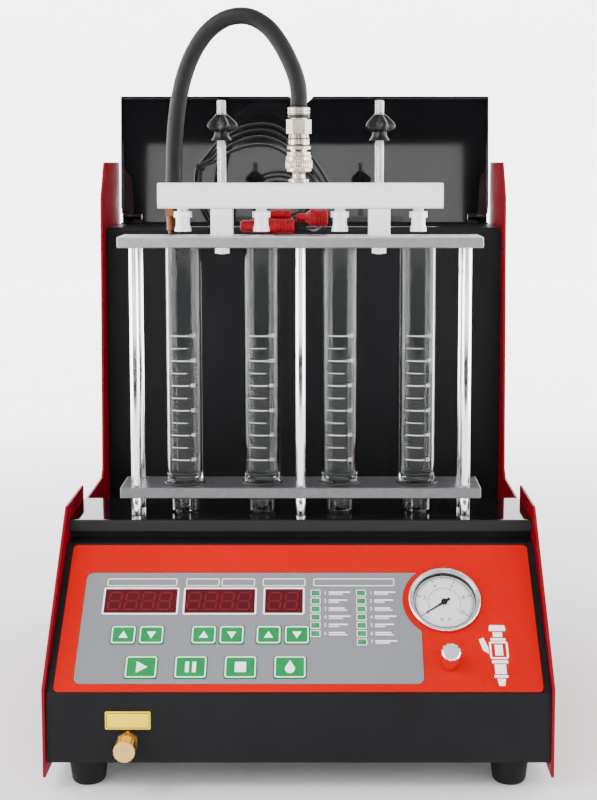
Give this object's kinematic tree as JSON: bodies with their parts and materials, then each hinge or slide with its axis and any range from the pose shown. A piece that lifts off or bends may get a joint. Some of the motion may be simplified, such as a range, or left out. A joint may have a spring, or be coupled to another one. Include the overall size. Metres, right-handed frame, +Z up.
{
  "type": "ultrasonic injector cleaner",
  "caption": "Bench machine with a sloping key panel, a rack of measuring tubes under a fuel rail, and a lidded ultrasonic bath at the back.",
  "frame": {"origin": "centre of the footprint, on the surface that the feet stand on", "axes": "+X to the right seen from the front, +Y to the back, +Z up"},
  "size_m": [0.43, 0.5108, 0.6713],
  "materials": {
    "black_steel": "satin powder coat",
    "red_steel": "semi-gloss paint",
    "red_film": "printed film",
    "grey_film": "printed film",
    "gloss_black": "high gloss",
    "key_green": "moulded keys",
    "lamp_green": "tinted light guide",
    "display_red": "tinted window",
    "aluminium": "machined and anodised",
    "steel": "brushed",
    "chrome": "polished",
    "brass": "machined",
    "rubber": "matt",
    "black_plastic": "moulded",
    "white_enamel": "printed dial",
    "clear_glass": "clear",
    "yellow_film": "plain film",
    "board_green": "circuit board",
    "milk_plastic": "moulded tank"
  },
  "bodies": {
    "housing": {"base_plate": "black_steel", "front_cover": "black_steel", "cabinet_shell": "black_steel", "rear_cover": "black_steel", "side_plate_left": "red_steel", "side_plate_right": "red_steel", "control_overlay": "red_film", "keypad_field": "grey_film", "deck_plate": "gloss_black", "lamp_strip": "lamp_green", "display_board": "display_red", "rack_lower_frame": "aluminium", "rack_upper_plate": "aluminium", "bath_transducer": "aluminium", "ultrasonic_bath": "steel", "clamp_stud_left": "steel", "clamp_stud_right": "steel", "lid_hinge_left": "steel", "lid_hinge_right": "steel", "fluid_pump": "steel", "gauge_case": "chrome", "hose_fitting": "brass", "regulator_valve": "brass", "drain_outlet": "brass", "pressure_hose": "rubber", "injector_leads": "rubber", "foot_front_left": "rubber", "foot_front_right": "rubber", "foot_rear_left": "rubber", "foot_rear_right": "rubber", "power_inlet": "black_plastic", "gauge_dial": "white_enamel", "glass_tube_1": "clear_glass", "glass_tube_2": "clear_glass", "glass_tube_3": "clear_glass", "glass_tube_4": "clear_glass", "gauge_lens": "clear_glass", "outlet_plate": "yellow_film", "control_board": "board_green", "fluid_tank": "milk_plastic"},
    "lid": {"lid": "black_steel"},
    "rail": {"fuel_rail": "aluminium", "coupler_body": "chrome"},
    "sleeve": {"coupler_sleeve": "chrome"},
    "knob_left": {"clamp_knob_left": "black_plastic"},
    "knob_right": {"clamp_knob_right": "black_plastic"},
    "pointer": {"gauge_pointer": "black_plastic"},
    "regulator": {"regulator_knob": "chrome"},
    "drain_plug": {"drain_plug": "brass"},
    "rocker": {"power_rocker": "black_plastic"},
    "key_cycle_up": {"key_cycle_up": "key_green"},
    "key_cycle_down": {"key_cycle_down": "key_green"},
    "key_speed_up": {"key_speed_up": "key_green"},
    "key_speed_down": {"key_speed_down": "key_green"},
    "key_time_up": {"key_time_up": "key_green"},
    "key_time_down": {"key_time_down": "key_green"},
    "key_start": {"key_start": "key_green"},
    "key_pause": {"key_pause": "key_green"},
    "key_stop": {"key_stop": "key_green"},
    "key_drain": {"key_drain": "key_green"}
  },
  "joints": [
    {"name": "lid_hinge", "type": "hinge", "parent": "housing", "child": "lid", "pos_m": [0, 0.24193, 0.4687], "axis": [1, 0, 0], "range_deg": [0, 95]},
    {"name": "rail_lift", "type": "slide", "parent": "housing", "child": "rail", "axis": [0, 0, 1], "range_m": [0, 0.036], "deforming": ["pressure_hose"]},
    {"name": "sleeve_slide", "type": "slide", "parent": "rail", "child": "sleeve", "axis": [0, 0, -1], "range_m": [0, 0.005], "stiffness_N_per_m": 500, "springref_m": -0.004},
    {"name": "clamp_left_turn", "type": "hinge", "parent": "housing", "child": "knob_left", "pos_m": [-0.0726, -0.07007, 0.5617], "axis": [0, 0, 1], "continuous": true},
    {"name": "clamp_right_turn", "type": "hinge", "parent": "housing", "child": "knob_right", "pos_m": [0.0726, -0.07007, 0.5617], "axis": [0, 0, 1], "continuous": true},
    {"name": "gauge_needle", "type": "hinge", "parent": "housing", "child": "pointer", "pos_m": [0.1277, -0.1629, 0.14459], "axis": [0, 0.6561, -0.7547], "range_deg": [0, 248], "stiffness_Nm_per_rad": 0.002, "springref_deg": -34.38},
    {"name": "regulator_turn", "type": "hinge", "parent": "housing", "child": "regulator", "pos_m": [0.1287, -0.21512, 0.11245], "axis": [0, 0.6561, -0.7547], "continuous": true},
    {"name": "drain_plug_turn", "type": "hinge", "parent": "housing", "child": "drain_plug", "pos_m": [-0.1432, -0.24807, 0.0465], "axis": [0, -1, 0], "continuous": true},
    {"name": "rocker_tilt", "type": "hinge", "parent": "housing", "child": "rocker", "pos_m": [0.06, 0.24353, 0.0847], "axis": [1, 0, 0], "range_deg": [-10, 0]},
    {"name": "press_cycle_up", "type": "slide", "parent": "housing", "child": "key_cycle_up", "axis": [0, 0.6561, -0.7547], "range_m": [0, 0.0008], "stiffness_N_per_m": 600, "springref_m": -0.0005},
    {"name": "press_cycle_down", "type": "slide", "parent": "housing", "child": "key_cycle_down", "axis": [0, 0.6561, -0.7547], "range_m": [0, 0.0008], "stiffness_N_per_m": 600, "springref_m": -0.0005},
    {"name": "press_speed_up", "type": "slide", "parent": "housing", "child": "key_speed_up", "axis": [0, 0.6561, -0.7547], "range_m": [0, 0.0008], "stiffness_N_per_m": 600, "springref_m": -0.0005},
    {"name": "press_speed_down", "type": "slide", "parent": "housing", "child": "key_speed_down", "axis": [0, 0.6561, -0.7547], "range_m": [0, 0.0008], "stiffness_N_per_m": 600, "springref_m": -0.0005},
    {"name": "press_time_up", "type": "slide", "parent": "housing", "child": "key_time_up", "axis": [0, 0.6561, -0.7547], "range_m": [0, 0.0008], "stiffness_N_per_m": 600, "springref_m": -0.0005},
    {"name": "press_time_down", "type": "slide", "parent": "housing", "child": "key_time_down", "axis": [0, 0.6561, -0.7547], "range_m": [0, 0.0008], "stiffness_N_per_m": 600, "springref_m": -0.0005},
    {"name": "press_start", "type": "slide", "parent": "housing", "child": "key_start", "axis": [0, 0.6561, -0.7547], "range_m": [0, 0.0008], "stiffness_N_per_m": 600, "springref_m": -0.0005},
    {"name": "press_pause", "type": "slide", "parent": "housing", "child": "key_pause", "axis": [0, 0.6561, -0.7547], "range_m": [0, 0.0008], "stiffness_N_per_m": 600, "springref_m": -0.0005},
    {"name": "press_stop", "type": "slide", "parent": "housing", "child": "key_stop", "axis": [0, 0.6561, -0.7547], "range_m": [0, 0.0008], "stiffness_N_per_m": 600, "springref_m": -0.0005},
    {"name": "press_drain", "type": "slide", "parent": "housing", "child": "key_drain", "axis": [0, 0.6561, -0.7547], "range_m": [0, 0.0008], "stiffness_N_per_m": 600, "springref_m": -0.0005}
  ]
}
